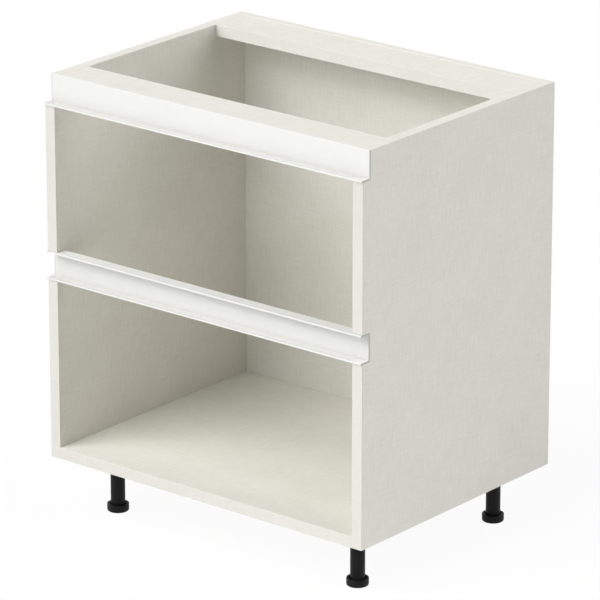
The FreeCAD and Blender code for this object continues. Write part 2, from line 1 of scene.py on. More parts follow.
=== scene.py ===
# %% [markdown]
# An open kitchen carcass for two drawers. The measured model already holds every board, grip profile,
# fitting and leg at its real size and place, so nothing is moved here. This script gives the pieces
# their finishes, eases their edges as a joiner would, and adds the shapes that matter only to the eye,
# such as the threads of the legs and the recesses of the screws.

# %% Load the measured model
import math

import bmesh
import bpy
import numpy as np
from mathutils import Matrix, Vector


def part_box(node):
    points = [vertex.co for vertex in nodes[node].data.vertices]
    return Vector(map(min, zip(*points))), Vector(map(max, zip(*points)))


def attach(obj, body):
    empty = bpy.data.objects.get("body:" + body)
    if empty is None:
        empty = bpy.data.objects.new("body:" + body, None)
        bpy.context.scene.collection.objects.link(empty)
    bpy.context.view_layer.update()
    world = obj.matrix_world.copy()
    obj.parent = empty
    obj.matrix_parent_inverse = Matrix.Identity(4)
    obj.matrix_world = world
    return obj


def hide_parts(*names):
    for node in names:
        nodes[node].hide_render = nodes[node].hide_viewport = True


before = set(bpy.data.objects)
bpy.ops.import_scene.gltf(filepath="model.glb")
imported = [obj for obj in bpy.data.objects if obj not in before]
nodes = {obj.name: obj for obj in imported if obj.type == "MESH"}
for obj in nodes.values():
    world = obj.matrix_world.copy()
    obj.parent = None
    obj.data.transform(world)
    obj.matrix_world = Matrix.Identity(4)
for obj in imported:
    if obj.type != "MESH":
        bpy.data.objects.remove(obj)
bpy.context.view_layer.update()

scene = bpy.context.scene
MM = 0.001

# %% [markdown]
# The photograph was taken from the front right, a little above the carcass and from far away. A long
# lens keeps the upright edges nearly parallel, which is how catalogue pictures of furniture are made.
# The place and the turn of the camera were worked out from the corners of the carcass.

# %% Camera
EYE = (5.1504, -6.2800, 3.2431)
YAW = math.radians(39.340)
PITCH_DOWN = math.radians(19.172)
SENSOR_WIDTH = 36.0
FOCAL_PIXELS = 4803.7
IMAGE_PIXELS = 600.0

camera_data = bpy.data.cameras.new("camera")
camera_data.sensor_width = SENSOR_WIDTH
camera_data.lens = SENSOR_WIDTH * FOCAL_PIXELS / IMAGE_PIXELS
camera = bpy.data.objects.new("camera", camera_data)
camera.location = EYE
camera.rotation_euler = (math.pi / 2 - PITCH_DOWN, 0.0, YAW)
scene.collection.objects.link(camera)
scene.camera = camera
print("camera lens", round(camera_data.lens, 1), "mm")

# %% [markdown]
# Every finish below is a small tree of nodes. A few helpers keep the trees short. One turns a colour as a
# paint card gives it, in sRGB, into the linear numbers that shaders calculate with. One feeds the inputs
# of a node, and one adds a node with its settings, in shader trees and geometry trees alike. The last
# blends two colours.

# %% Helpers for node trees
def linear(hex_colour):
    """Linear RGBA of an sRGB colour such as #E6E4DC."""
    channels = [int(hex_colour[k:k + 2], 16) / 255 for k in (1, 3, 5)]
    bent = [c / 12.92 if c <= 0.04045 else ((c + 0.055) / 1.055) ** 2.4 for c in channels]
    return (*bent, 1.0)


def feed(tree, node, inputs):
    """Gives each named input of a node a plain value or the output that feeds it."""
    for key, value in inputs.items():
        if isinstance(value, bpy.types.NodeSocket):
            tree.links.new(value, node.inputs[key])
        else:
            node.inputs[key].default_value = value


def add_node(tree, kind, inputs=None, **settings):
    """Adds one node with its settings and feeds its inputs."""
    made = tree.nodes.new(kind)
    for name, value in settings.items():
        setattr(made, name, value)
    feed(tree, made, inputs or {})
    return made


def new_finish(name):
    """A new material with its tree and its main shader."""
    material = bpy.data.materials.new(name)
    material.use_nodes = True
    tree = material.node_tree
    return material, tree, tree.nodes["Principled BSDF"]


# The Mix node keeps its sockets for colours and vectors at these places.
MIX_VECTOR_A, MIX_VECTOR_B, MIX_VECTOR_OUT = 4, 5, 1
MIX_COLOUR_A, MIX_COLOUR_B, MIX_COLOUR_OUT = 6, 7, 2


def blend(tree, share, first, second):
    """A colour that goes from the first to the second as the share goes from nought to one."""
    return add_node(tree, "ShaderNodeMix", {
        0: share, MIX_COLOUR_A: first, MIX_COLOUR_B: second}, data_type="RGBA").outputs[MIX_COLOUR_OUT]


print("colour check: #BCBCBC is", round(linear("#BCBCBC")[0], 3), "in linear light")

# %% [markdown]
# The stage is a white studio. The floor is pale and catches a faint shadow, and the camera mostly looks
# through it to the white surround, so a foot that is screwed down below floor level still shows. The
# surround is white only where it is looked at, straight on or in a reflection. A Light Path node tells
# such rays from the others, and the lamps alone light the carcass.

# %% Floor and surround
FLOOR_SIZE = 30.0
FLOOR_SHARE = 0.06


def seen_directly(tree):
    """One where a ray comes from the camera, a reflection or glass, and nought for other light."""
    path = add_node(tree, "ShaderNodeLightPath")
    either = add_node(tree, "ShaderNodeMath", {
        0: path.outputs["Is Camera Ray"], 1: path.outputs["Is Glossy Ray"]}, operation="MAXIMUM")
    return add_node(tree, "ShaderNodeMath", {
        0: either.outputs[0], 1: path.outputs["Is Transmission Ray"]}, operation="MAXIMUM").outputs[0]


def studio_floor():
    """A pale floor whose own shade shows only faintly over the white surround."""
    material = bpy.data.materials.new("pale_studio_floor")
    material.use_nodes = True
    tree = material.node_tree
    tree.nodes.clear()
    share = add_node(tree, "ShaderNodeMath", {
        0: seen_directly(tree), 1: 1.0 - FLOOR_SHARE}, operation="MULTIPLY")
    paint = add_node(tree, "ShaderNodeBsdfDiffuse", {"Color": linear("#F2F2F0")})
    clear = add_node(tree, "ShaderNodeBsdfTransparent")
    mix = add_node(tree, "ShaderNodeMixShader", {
        0: share.outputs[0], 1: paint.outputs[0], 2: clear.outputs[0]})
    add_node(tree, "ShaderNodeOutputMaterial", {"Surface": mix.outputs[0]})
    half = FLOOR_SIZE / 2
    floor_corners = [(-half, -half, 0), (half, -half, 0), (half, half, 0), (-half, half, 0)]
    mesh = bpy.data.meshes.new("studio_floor")
    mesh.from_pydata(floor_corners, [], [(0, 1, 2, 3)])
    mesh.materials.append(material)
    floor = bpy.data.objects.new("studio_floor", mesh)
    scene.collection.objects.link(floor)


def studio_surround():
    """White where it is looked at, and dark for all other light."""
    world = bpy.data.worlds.new("studio_surround")
    scene.world = world
    world.use_nodes = True
    tree = world.node_tree
    tree.nodes.clear()
    white = add_node(tree, "ShaderNodeBackground", {
        "Color": linear("#FFFFFF"), "Strength": seen_directly(tree)})
    add_node(tree, "ShaderNodeOutputWorld", {"Surface": white.outputs[0]})


studio_floor()
studio_surround()
print("stage: a floor of", FLOOR_SIZE, "m and a white surround")

# %% [markdown]
# The light is soft and comes from a few wide lamps, far away. Sun lamps give that: their light is as
# strong at the back of the carcass as at its front, and a wide angle softens their shadows as a large
# diffuser does. Three in front, two low and one high, reach into the carcass and over its floor. Two at
# the right and behind, one low and one high, light the tops and the right side. The table gives each
# lamp's azimuth, elevation and strength.

# %% Lamps
LAMP_ANGLE = math.radians(40)
LAMPS = {
    "front_low_lamp": (0, 28, 0.63),
    "front_left_low_lamp": (-40, 28, 1.20),
    "front_high_lamp": (-20, 52, 1.95),
    "right_rear_high_lamp": (130, 60, 0.86),
    "right_rear_low_lamp": (130, 20, 1.17),
}


def studio_lamp(name, azimuth, elevation, strength):
    """One wide, far lamp; the azimuth counts from the front towards the right, both in degrees."""
    turn = math.radians(azimuth)
    rise = math.radians(elevation)
    towards = Vector((math.sin(turn) * math.cos(rise), -math.cos(turn) * math.cos(rise), math.sin(rise)))
    light = bpy.data.lights.new(name, "SUN")
    light.energy = strength
    light.angle = LAMP_ANGLE
    lamp = bpy.data.objects.new(name, light)
    lamp.rotation_euler = towards.to_track_quat("Z", "Y").to_euler()
    scene.collection.objects.link(lamp)


for name, (azimuth, elevation, strength) in LAMPS.items():
    studio_lamp(name, azimuth, elevation, strength)
scene.view_settings.view_transform = "Standard"
print("lamps", list(LAMPS))

# %% [markdown]
# The boards are chipboard faced with melamine: printed paper, soaked in resin and pressed hot under an
# embossed plate. Here the print and the embossing are a linen weave. Real linen threads are about half
# a millimetre apart, which is too fine to show at this distance, so the weave is drawn with threads of
# a little over two millimetres. Two long, thin noises crossing at right angles give warp and weft,
# thicker in places as real yarn is, and one broad noise gives the slightly cloudy tone of the print.
# The weave lies flat on each face: on upright faces it runs along the board and up, on level ones along
# width and depth. Each board is cut from its own sheet, so an attribute shifts the weave board by board.

# %% Where the weave lies
SHEET_SHIFT = "sheet_shift"
LEVEL_TILT = 0.7
YARN_ROUGHNESS = 0.55


def weave_place(tree):
    """Coordinates in metres across and along the weave of whatever face is looked at."""
    where = add_node(tree, "ShaderNodeTexCoord")
    place = add_node(tree, "ShaderNodeSeparateXYZ", {0: where.outputs["Object"]})
    facing = add_node(tree, "ShaderNodeSeparateXYZ", {0: where.outputs["Normal"]})
    tilt = add_node(tree, "ShaderNodeMath", {0: facing.outputs["Z"]}, operation="ABSOLUTE")
    level = add_node(tree, "ShaderNodeMath", {0: tilt.outputs[0], 1: LEVEL_TILT}, operation="GREATER_THAN")
    around = add_node(tree, "ShaderNodeMath", {0: place.outputs["X"], 1: place.outputs["Y"]}, operation="ADD")
    upright = add_node(tree, "ShaderNodeCombineXYZ", {"X": around.outputs[0], "Y": place.outputs["Z"]})
    lying = add_node(tree, "ShaderNodeCombineXYZ", {"X": place.outputs["X"], "Y": place.outputs["Y"]})
    face = add_node(tree, "ShaderNodeMix", {
        0: level.outputs[0], MIX_VECTOR_A: upright.outputs[0], MIX_VECTOR_B: lying.outputs[0]},
        data_type="VECTOR")
    shift = add_node(tree, "ShaderNodeAttribute", attribute_name=SHEET_SHIFT)
    return add_node(tree, "ShaderNodeVectorMath", {
        0: face.outputs[MIX_VECTOR_OUT], 1: shift.outputs["Fac"]}, operation="ADD").outputs[0]


def thread_noise(tree, place, across_mm, along_mm, detail):
    """Noise stretched to the given sizes, in millimetres."""
    scaled = add_node(tree, "ShaderNodeMapping", {
        "Vector": place, "Scale": (1.0 / (across_mm * MM), 1.0 / (along_mm * MM), 1.0)})
    return add_node(tree, "ShaderNodeTexNoise", {
        "Vector": scaled.outputs[0], "Scale": 1.0, "Detail": detail, "Roughness": YARN_ROUGHNESS},
        noise_dimensions="2D").outputs[0]


print("a face is level where its normal has more than", LEVEL_TILT, "in Z; boards carry", SHEET_SHIFT)

# %% [markdown]
# Warp, weft and cloud together give the tone of the print, between a deep and a pale colour. The same
# threads give the relief of the pressed surface and a sheen that varies a little from thread to thread.
# The edge bands are printed to match, with a smoother face. The band on the fronts of the boards is a
# shade deeper and the band on the rails a shade paler, as painted shade and painted light on those
# faces, and a plain pale one lies behind the rear rail.

# %% Linen melamine and its edge bands
THREAD_WIDTH = 2.3
THREAD_LENGTH = 38.0
CLOUD_SIZE = 95.0
CLOUD_SHARE = 0.35
CLOTH_LOW, CLOTH_HIGH = 0.6, 1.4
NOISE_LOW, NOISE_HIGH = 0.3, 0.7
SHEEN_SPREAD = 0.06
WEAVE_RELIEF = 0.05
WEAVE_STRENGTH = 0.6
MELAMINE_IOR = 1.5


def linen(name, pale, deep, roughness, weave_contrast):
    """Pressed linen melamine: an even, dry sheen with a weave that is felt more than seen."""
    material, tree, shader = new_finish(name)
    place = weave_place(tree)
    warp = thread_noise(tree, place, THREAD_WIDTH, THREAD_LENGTH, detail=3.0)
    weft = thread_noise(tree, place, THREAD_LENGTH, THREAD_WIDTH, detail=3.0)
    cloud = thread_noise(tree, place, CLOUD_SIZE, CLOUD_SIZE, detail=2.0)
    cloth = add_node(tree, "ShaderNodeMath", {0: warp, 1: weft}, operation="ADD")
    threads = add_node(tree, "ShaderNodeMapRange", {
        "Value": cloth.outputs[0], "From Min": CLOTH_LOW, "From Max": CLOTH_HIGH,
        "To Min": 0.5 - weave_contrast / 2, "To Max": 0.5 + weave_contrast / 2})
    tone = add_node(tree, "ShaderNodeMath", {
        0: cloud, 1: CLOUD_SHARE, 2: threads.outputs[0]}, operation="MULTIPLY_ADD")
    print_tone = add_node(tree, "ShaderNodeMath", {
        0: tone.outputs[0], 1: CLOUD_SHARE / 2}, operation="SUBTRACT")
    colour = blend(tree, print_tone.outputs[0], linear(deep), linear(pale))
    gloss = add_node(tree, "ShaderNodeMapRange", {
        "Value": warp, "From Min": NOISE_LOW, "From Max": NOISE_HIGH,
        "To Min": roughness + SHEEN_SPREAD, "To Max": roughness - SHEEN_SPREAD})
    relief = add_node(tree, "ShaderNodeBump", {
        "Strength": WEAVE_STRENGTH, "Distance": WEAVE_RELIEF * MM, "Height": cloth.outputs[0]})
    feed(tree, shader, {
        "Base Color": colour, "Roughness": gloss.outputs[0], "Normal": relief.outputs[0],
        "IOR": MELAMINE_IOR})
    return material


linen_melamine = linen("linen_melamine", "#E2E0D9", "#CFCDC3", roughness=0.58, weave_contrast=0.62)
# The front band is painted a shade deeper and the rail band a shade paler: painted shade and painted light.
linen_edge_band = linen("linen_edge_band", "#D8D6D0", "#CAC8C1", roughness=0.45, weave_contrast=0.55)
rail_edge_band = linen("rail_edge_band", "#E1DFD9", "#D3D1CA", roughness=0.45, weave_contrast=0.55)
pale_edge_band = linen("pale_edge_band", "#EFEEEB", "#E8E7E3", roughness=0.45, weave_contrast=0.3)
print("linen drawn with threads of", THREAD_WIDTH, "mm")

# %% [markdown]
# The two grip profiles are extruded aluminium with a white powder coat, baked on, which leaves a satin
# surface with a very fine orange peel. They were sawn to length after coating, so their ends are bare
# metal with the marks of the blade. The orange peel of a real coat is about a millimetre across. The coat
# is painted a shade deeper where a profile's lips keep the light off, as painted shade, and an attribute
# says how much. The function that makes the coat serves every other finish with an even grain as well.

# %% White powder coat
PEEL_SIZE = 1.4
BROAD_GRAINS = 14
GLOSS_SPREAD = 0.05
GRAIN_STRENGTH = 0.5
SHADE_ATTRIBUTE = "painted_root_shade"


def object_place(tree):
    """Where a point lies in the frame of the measured model, in metres."""
    return add_node(tree, "ShaderNodeTexCoord").outputs["Object"]


def even_noise(tree, size_mm, detail):
    """Noise of one grain size in all directions."""
    return add_node(tree, "ShaderNodeTexNoise", {
        "Vector": object_place(tree), "Scale": 1.0 / (size_mm * MM), "Detail": detail}).outputs[0]


def grained(name, pale, deep, grain_mm, relief_mm, roughness, metallic=0.0, specular=0.5, painted_shade=None):
    """A finish with an even grain: two close tones, a fine relief, a slightly uneven gloss, perhaps painted
    shade.
    """
    material, tree, shader = new_finish(name)
    grain = even_noise(tree, grain_mm, detail=2.0)
    broad = even_noise(tree, grain_mm * BROAD_GRAINS, detail=3.0)
    colour = blend(tree, broad, linear(deep), linear(pale))
    if painted_shade:
        # The attribute lays a painted shade over the coat.
        shade_share = add_node(tree, "ShaderNodeAttribute", attribute_name=SHADE_ATTRIBUTE)
        colour = blend(tree, shade_share.outputs["Fac"], colour, linear(painted_shade))
    gloss = add_node(tree, "ShaderNodeMapRange", {
        "Value": broad, "From Min": NOISE_LOW, "From Max": NOISE_HIGH,
        "To Min": roughness + GLOSS_SPREAD, "To Max": roughness - GLOSS_SPREAD})
    relief = add_node(tree, "ShaderNodeBump", {
        "Strength": GRAIN_STRENGTH, "Distance": relief_mm * MM, "Height": grain})
    feed(tree, shader, {
        "Base Color": colour, "Roughness": gloss.outputs[0], "Normal": relief.outputs[0],
        "Metallic": metallic, "Specular IOR Level": specular})
    return material


# The deeper colour is painted shade in the roots of the lips and over the middle web.
white_coat = grained("white_powder_coat", "#E0E0DE", "#DBDBD9", grain_mm=PEEL_SIZE, relief_mm=0.012,
                     roughness=0.36, painted_shade="#BDBBB5")
print("profiles:", white_coat.name, "with a peel of", PEEL_SIZE, "mm")

# %% [markdown]
# A saw blade leaves fine arcs on a cut. Over the few millimetres of a thin wall they look like straight
# upright lines, so the bare ends get noise that is stretched upwards, on grey metal. The function takes
# the size of its noise along each axis, and gives the streaks of beech as well.

# %% Sawn aluminium
SAW_MARKS = (1000.0, 0.7, 21.0)


def streaked(name, pale, deep, sizes_mm, detail, relief_mm, strength, roughness, metallic=0.0):
    """A finish with streaks of two tones and a relief to match; the sizes go along X, Y and Z."""
    material, tree, shader = new_finish(name)
    stretched = add_node(tree, "ShaderNodeMapping", {
        "Vector": object_place(tree), "Scale": [1.0 / (size * MM) for size in sizes_mm]})
    streaks = add_node(tree, "ShaderNodeTexNoise", {
        "Vector": stretched.outputs[0], "Scale": 1.0, "Detail": detail}).outputs[0]
    colour = blend(tree, streaks, linear(deep), linear(pale))
    relief = add_node(tree, "ShaderNodeBump", {
        "Strength": strength, "Distance": relief_mm * MM, "Height": streaks})
    feed(tree, shader, {
        "Base Color": colour, "Roughness": roughness, "Normal": relief.outputs[0], "Metallic": metallic})
    return material


sawn_end = streaked("sawn_aluminium", "#BABAB7", "#9A9A97", SAW_MARKS, detail=2.0, relief_mm=0.03,
                    strength=0.6, roughness=0.42, metallic=1.0)
print("ends:", sawn_end.name, "with marks", SAW_MARKS[1], "mm apart")

# %% [markdown]
# The legs, the sockets and the brackets are moulded plastic. The mould is spark eroded, which leaves a
# fine even grain and a dull sheen. The fittings are metal: die-cast zinc for the cam locks, which comes
# out of its mould a little cloudy, and zinc-plated steel for screws and bolts. The dowels are beech, pale
# brown with short darker streaks along their length.

# %% Plastics, metals and beech
BEECH_STREAKS = (14.0, 0.7, 0.7)
black_plastic = grained("black_moulded_plastic", "#141415", "#0E0E0F", grain_mm=0.7, relief_mm=0.03,
                        roughness=0.5, specular=0.15)
grey_plastic = grained("grey_moulded_plastic", "#C6C6C1", "#BDBDB7", grain_mm=0.7, relief_mm=0.03,
                       roughness=0.5)
cast_zinc = grained("die_cast_zinc", "#C3C5C7", "#A9ABAE", grain_mm=0.9, relief_mm=0.03, roughness=0.4,
                    metallic=1.0)
plated_steel = grained("zinc_plated_steel", "#D3D2CC", "#BCBBB4", grain_mm=0.5, relief_mm=0.01,
                       roughness=0.27, metallic=1.0)
turned_beech = streaked("turned_beech", "#DDBB90", "#B98F5F", BEECH_STREAKS, detail=3.0, relief_mm=0.05,
                        strength=0.5, roughness=0.6)
print("fittings:", [m.name for m in (black_plastic, grey_plastic, cast_zinc, plated_steel, turned_beech)])

# %% [markdown]
# Boards and fittings start from their measured shape. A measured mesh comes as loose triangles, so a copy
# of it is merged and its flat faces are made whole, which a bevel needs. A piece that has a modifier is
# turned back into a plain mesh once the modifier has done its work.

# %% Copies of measured meshes
MERGE_DISTANCE = 1e-6
FLAT_ANGLE = math.radians(0.5)
SMOOTH_ANGLE = math.radians(25)


def whole_copy(node, reshape=None):
    """A merged copy of a measured mesh, perhaps reshaped, with its flat faces made whole."""
    shape = bmesh.new()
    shape.from_mesh(nodes[node].data)
    bmesh.ops.remove_doubles(shape, verts=shape.verts, dist=MERGE_DISTANCE)
    if reshape:
        reshape(shape)
    bmesh.ops.dissolve_limit(shape, angle_limit=FLAT_ANGLE, verts=shape.verts, edges=shape.edges)
    mesh = bpy.data.meshes.new(node)
    shape.to_mesh(mesh)
    shape.free()
    return mesh


def plain_mesh(piece):
    """Turns what the modifiers of a piece give into its own mesh."""
    graph = bpy.context.evaluated_depsgraph_get()
    mesh = bpy.data.meshes.new_from_object(piece.evaluated_get(graph))
    piece.modifiers.clear()
    piece.data = mesh
    return mesh


def shade(mesh):
    """Smooth over shallow turns, crisp at sharper ones."""
    mesh.shade_smooth()
    mesh.set_sharp_from_angle(angle=SMOOTH_ANGLE)


print("faces within", round(math.degrees(FLAT_ANGLE), 1), "degrees are joined into one")

# %% [markdown]
# Knife-sharp edges are eased by a few tenths of a millimetre, because a real edge always catches a thin
# line of light and a real joint shows as a hairline. A Bevel modifier eases every edge that turns by more
# than forty degrees. Smooth shading would now bend the light over the whole of each flat face, so a
# Weighted Normal modifier lets the large faces decide how they are lit, and only the eased edges curve.
# A sawn profile is eased less at its ends than along its length, so its edges carry a bevel weight.

# %% Ease the edges of a measured piece
EASE_ANGLE = math.radians(40)
EASE_SEGMENTS = 2


def mark_ends(mesh, end_share, rim_mm, cuts):
    """Cuts a rim round both ends in X, weighs outer edges for the bevel and keeps inner corners crisp.

    Further cuts are pairs of a point and a direction, and leave the shape as it is."""
    shape = bmesh.new()
    shape.from_mesh(mesh)
    reach = [vertex.co.x for vertex in shape.verts]
    ends = {min(reach): 1, max(reach): -1}
    rims = [((end + inward * rim_mm * MM, 0, 0), (1, 0, 0)) for end, inward in ends.items()]
    for point, direction in (*rims, *cuts):
        bmesh.ops.bisect_plane(shape, geom=[*shape.verts, *shape.edges, *shape.faces], dist=MERGE_DISTANCE,
                               plane_co=point, plane_no=direction)
    weight = shape.edges.layers.float.new("bevel_weight_edge")
    for edge in shape.edges:
        turn = edge.calc_face_angle_signed(0.0)
        if turn < -EASE_ANGLE:
            edge.smooth = False
        elif turn > EASE_ANGLE:
            at_end = any(
                all(abs(vertex.co.x - end) < MERGE_DISTANCE for vertex in edge.verts) for end in ends)
            edge[weight] = end_share if at_end else 1.0
    shape.to_mesh(mesh)
    shape.free()


def eased(name, node, radius_mm, finish, body, segments=EASE_SEGMENTS, end_radius_mm=None,
          rim_mm=None, reshape=None, cuts=()):
    """A piece that stands for a measured node, with its edges eased, sawn ends by their own radius."""
    mesh = whole_copy(node, reshape)
    for attribute in [a for a in mesh.attributes if a.name == "custom_normal"]:
        mesh.attributes.remove(attribute)
    mesh.shade_smooth()
    piece = bpy.data.objects.new(name, mesh)
    scene.collection.objects.link(piece)
    bevel = piece.modifiers.new("eased_edges", "BEVEL")
    bevel.width = radius_mm * MM
    bevel.segments = segments
    bevel.limit_method = "ANGLE"
    bevel.angle_limit = EASE_ANGLE
    bevel.use_clamp_overlap = False
    if end_radius_mm:
        mark_ends(mesh, end_radius_mm / radius_mm, rim_mm, cuts)
        bevel.limit_method = "WEIGHT"
    level = piece.modifiers.new("level_faces", "WEIGHTED_NORMAL")
    level.keep_sharp = True
    mesh = plain_mesh(piece)
    mesh.materials.clear()
    mesh.materials.append(finish)
    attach(piece, body)
    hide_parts(node)
    return piece


print("edges that turn by more than", round(math.degrees(EASE_ANGLE)), "degrees are eased")

# %% [markdown]
# First the boards: two sides, bottom, back and two rails, with the bands on their edges. A sawn and banded
# edge is scraped to a radius of about 0.4 millimetres. Each board gets its own shift of the weave, so that
# the threads do not run on from one board into the next. The palest band lies between the rear rail and
# the back, and shows as a thin light line on the top.

# %% Boards and edge bands
BOARD_EASE = 0.4
BAND_EASE = 0.35
SHIFT_STEP = 0.373
CABINET = "cabinet"


def shift_sheet(piece, count):
    """Marks a board as cut from its own place in the printed sheet."""
    attribute = piece.data.attributes.new(SHEET_SHIFT, "FLOAT", "POINT")
    attribute.data.foreach_set("value", [count * SHIFT_STEP] * len(piece.data.vertices))


boards = ["left_side_panel", "right_side_panel", "bottom_panel", "back_panel", "front_rail", "rear_rail"]
for count, node in enumerate(boards):
    board = eased(f"eased_{node}", node, BOARD_EASE, linen_melamine, CABINET)
    shift_sheet(board, count)
    print(board.name, len(board.data.polygons), "faces")
band_finishes = {
    "left_edge_bands": linen_edge_band,
    "right_edge_bands": linen_edge_band,
    "bottom_edge_band": linen_edge_band,
    "front_rail_edge_band": rail_edge_band,
    "rear_rail_edge_band": rail_edge_band,
    "rear_rail_rear_band": pale_edge_band,
}
for count, (node, finish) in enumerate(band_finishes.items(), start=len(boards)):
    band = eased(f"eased_{node}", node, BAND_EASE, finish, CABINET)
    shift_sheet(band, count)
    print(band.name, len(band.data.polygons), "faces")

# %% [markdown]
# The photo has a fine dark line where each lip of a grip profile meets its web, so the small rounds there
# are drawn in to a sharp root. The coat is painted a shade deeper in the lower root, along the lip and a
# little way up the web, and more over the web of the middle profile, which is a channel: painted shade
# where the lips keep light off. The mesh is cut along a few lines there, so that the painted shade can
# change from point to point. The tables give its depth by the distance from the root in millimetres.

# %% Roots and painted shade of the grip profiles
LIP_DEPTH = 21.0
LIP_THICKNESS = 3.0
ROOT_RADIUS = 1.5
ROOT_SLACK = 0.01
# How deep the painted shade lies, by millimetres from the root.
SHADE_UP_WEB = {0: 0.50, 1.5: 0.26, 8: 0.12, 20: 0.0}
SHADE_ALONG_LIP = {0: 0.50, 1.5: 0.27, LIP_DEPTH: 0.23}
CHANNEL_SHADE = 0.12
LOWER_LIP, UPPER_LIP = 1, -1


def root_of(node):
    """Where the front of the web meets the top of the lower lip, as Y and Z."""
    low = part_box(node)[0]
    return low.y + LIP_DEPTH * MM, low.z + LIP_THICKNESS * MM


def shade_cuts(node):
    """Lines up the web and along the lip where the painted shade changes."""
    root_y, root_z = root_of(node)
    up_web = [((0, 0, root_z + rise * MM), (0, 0, 1)) for rise in SHADE_UP_WEB if rise]
    along_lip = [((0, root_y - out * MM, 0), (0, 1, 0)) for out in SHADE_ALONG_LIP if 0 < out < LIP_DEPTH]
    return up_web + along_lip


def paint_root_shade(piece, node, least):
    """Marks how deep the painted shade is at each point of the web and of the lower lip."""
    root_y, root_z = root_of(node)
    amounts = []
    for vertex in piece.data.vertices:
        out = (root_y - vertex.co.y) / MM
        rise = (vertex.co.z - root_z) / MM
        amount = 0.0
        if abs(rise) < ROOT_SLACK and out > -ROOT_SLACK:
            amount = np.interp(out, list(SHADE_ALONG_LIP), list(SHADE_ALONG_LIP.values()))
        elif abs(out) < ROOT_SLACK and rise > 0:
            amount = max(least, np.interp(rise, list(SHADE_UP_WEB), list(SHADE_UP_WEB.values())))
        amounts.append(amount)
    attribute = piece.data.attributes.new(SHADE_ATTRIBUTE, "FLOAT", "POINT")
    attribute.data.foreach_set("value", amounts)
    print(SHADE_ATTRIBUTE, "on", sum(amount > 0 for amount in amounts), "points")


def sharp_roots(shape, node, lips):
    """Draws the round at the root of each given lip in to a sharp corner."""
    low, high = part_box(node)
    web_front = low.y + LIP_DEPTH * MM
    for way in lips:
        inside = low.z + LIP_THICKNESS * MM if way == LOWER_LIP else high.z - LIP_THICKNESS * MM
        for vertex in shape.verts:
            out = (web_front - vertex.co.y) / MM
            rise = (vertex.co.z - inside) * way / MM
            if all(-ROOT_SLACK < reach < ROOT_RADIUS + ROOT_SLACK for reach in (out, rise)):
                vertex.co.y = web_front
                vertex.co.z = inside
    bmesh.ops.remove_doubles(shape, verts=shape.verts, dist=MERGE_DISTANCE)
    bmesh.ops.dissolve_degenerate(shape, edges=shape.edges, dist=MERGE_DISTANCE)


print("dust is cut in at", list(SHADE_UP_WEB)[1:], "mm up the web")

# %% [markdown]
# The profiles come from an extrusion die with small radii, so they have no hard arris along their length.
# They are sawn to length, so their end faces are bare metal. A rim of a millimetre round each end has
# the same grey metal, which paints a thin shade line along the ends; everything else keeps its coat.

# %% Grip profiles
PROFILE_EASE = 0.35
PROFILE_SEGMENTS = 3
END_EASE = 0.15
# The end faces are bare metal; the rim beyond them is grey only as a painted shade line along the ends.
BARE_END_AND_SHADE_RIM = 1.0
profiles = (
    ("top_handle_profile", (LOWER_LIP,), 0.0),
    ("middle_handle_profile", (LOWER_LIP, UPPER_LIP), CHANNEL_SHADE),
)
for node, lips, least in profiles:
    profile = eased(f"coated_{node}", node, PROFILE_EASE, white_coat, CABINET,
                    segments=PROFILE_SEGMENTS, end_radius_mm=END_EASE, rim_mm=BARE_END_AND_SHADE_RIM,
                    reshape=lambda shape: sharp_roots(shape, node, lips), cuts=shade_cuts(node))
    paint_root_shade(profile, node, least)
    profile.data.materials.append(sawn_end)
    low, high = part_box(node)
    for face in profile.data.polygons:
        near_end = min(face.center.x - low.x, high.x - face.center.x) < BARE_END_AND_SHADE_RIM * MM
        face.material_index = int(near_end)
    ends = sum(face.material_index for face in profile.data.polygons)
    print(profile.name, len(profile.data.polygons), "faces,", ends, "of them sawn")

# %% [markdown]
# Brackets, cam locks, leg sockets and leg tubes are eased in the same way, each by the radius that its
# mould or its tool leaves. The bolts inside the boards never show, so they only get their metal.

# %% Brackets, cam locks, sockets and tubes
MOULD_EASE = 0.4
CAST_EASE = 0.25
TUBE_EASE = 0.3
corners = ["front_left", "front_right", "rear_left", "rear_right"]
for node in ("top_left_bracket", "top_right_bracket", "middle_left_bracket", "middle_right_bracket"):
    eased(f"moulded_{node}", node, MOULD_EASE, grey_plastic, CABINET)
for node in ("bottom_cam_locks", "rail_cam_locks", "back_cam_locks"):
    eased(f"cast_{node}", node, CAST_EASE, cast_zinc, CABINET)
for corner in corners:
    socket = f"{corner}_leg_socket"
    tube = f"{corner}_leg_tube"
    eased(f"moulded_{socket}", socket, MOULD_EASE, black_plastic, CABINET)
    eased(f"moulded_{tube}", tube, TUBE_EASE, black_plastic, f"{corner}_leg")
for node in ("left_cam_bolts", "right_cam_bolts"):
    for place in nodes[node].material_slots:
        place.material = plated_steel
print("eased", len(corners), "leg sockets and tubes, the brackets and the cam locks")

# %% [markdown]
# Screws, dowels and feet are round, so they are made on a lathe of code: an outline of radius and height is
# swung round the Z axis. Flutes dip the radius as the angle goes round. A second function rounds one
# corner of an outline by an arc.

# %% A lathe
LATHE_SIDES = 48


